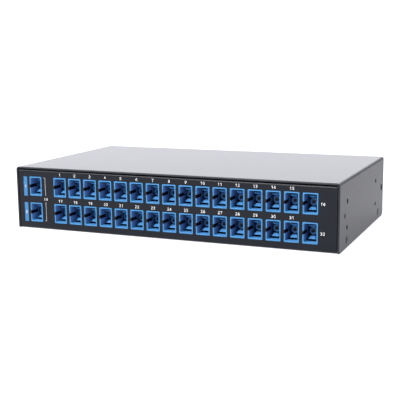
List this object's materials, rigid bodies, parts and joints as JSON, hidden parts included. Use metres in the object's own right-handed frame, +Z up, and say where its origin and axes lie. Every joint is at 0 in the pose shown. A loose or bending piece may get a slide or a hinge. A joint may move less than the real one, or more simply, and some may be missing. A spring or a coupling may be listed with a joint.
{
  "type": "plc fibre splitter",
  "caption": "Low rectangular sheet-metal case with two rows of fibre adapters in its front panel, fed by a column of uplink adapters at its left end.",
  "frame": {"origin": "middle of the underside of the case, on the surface that it stands on", "axes": "+X to the right as seen from the front, +Y to the rear, +Z up"},
  "size_m": [0.234, 0.1352, 0.044],
  "materials": {
    "powder_coat": "fine-grained satin powder coat",
    "adapter_plastic": "moulded, slightly glossy",
    "spring_steel": "bright spring steel",
    "connector_plastic": "moulded",
    "boot_rubber": "soft matt",
    "black_screw": "black oxide",
    "plated_nut": "zinc plated",
    "fibre_jacket": "smooth jacket",
    "saddle_nylon": "natural nylon",
    "foam_tape": "closed-cell foam",
    "module_steel": "brushed"
  },
  "bodies": {
    "root": {"base_tray": "powder_coat", "top_cover": "powder_coat", "adapter_uplink_1": "adapter_plastic", "adapter_uplink_2": "adapter_plastic", "adapter_out_01": "adapter_plastic", "adapter_out_02": "adapter_plastic", "adapter_out_03": "adapter_plastic", "adapter_out_04": "adapter_plastic", "adapter_out_05": "adapter_plastic", "adapter_out_06": "adapter_plastic", "adapter_out_07": "adapter_plastic", "adapter_out_08": "adapter_plastic", "adapter_out_09": "adapter_plastic", "adapter_out_10": "adapter_plastic", "adapter_out_11": "adapter_plastic", "adapter_out_12": "adapter_plastic", "adapter_out_13": "adapter_plastic", "adapter_out_14": "adapter_plastic", "adapter_out_15": "adapter_plastic", "adapter_out_16": "adapter_plastic", "adapter_out_17": "adapter_plastic", "adapter_out_18": "adapter_plastic", "adapter_out_19": "adapter_plastic", "adapter_out_20": "adapter_plastic", "adapter_out_21": "adapter_plastic", "adapter_out_22": "adapter_plastic", "adapter_out_23": "adapter_plastic", "adapter_out_24": "adapter_plastic", "adapter_out_25": "adapter_plastic", "adapter_out_26": "adapter_plastic", "adapter_out_27": "adapter_plastic", "adapter_out_28": "adapter_plastic", "adapter_out_29": "adapter_plastic", "adapter_out_30": "adapter_plastic", "adapter_out_31": "adapter_plastic", "adapter_out_32": "adapter_plastic", "output_adapter_clips": "spring_steel", "output_connectors": "connector_plastic", "output_boots": "boot_rubber", "uplink_adapter_clips": "spring_steel", "uplink_connectors": "connector_plastic", "uplink_boots": "boot_rubber", "cover_screws": "black_screw", "ear_screws": "black_screw", "ear_nuts": "plated_nut", "fibre_coil": "fibre_jacket", "coil_saddles": "saddle_nylon", "module_pad": "foam_tape", "splitter_module": "module_steel", "module_tails": "fibre_jacket", "lower_bundle": "fibre_jacket", "upper_bundle": "fibre_jacket"}
  },
  "joints": []
}
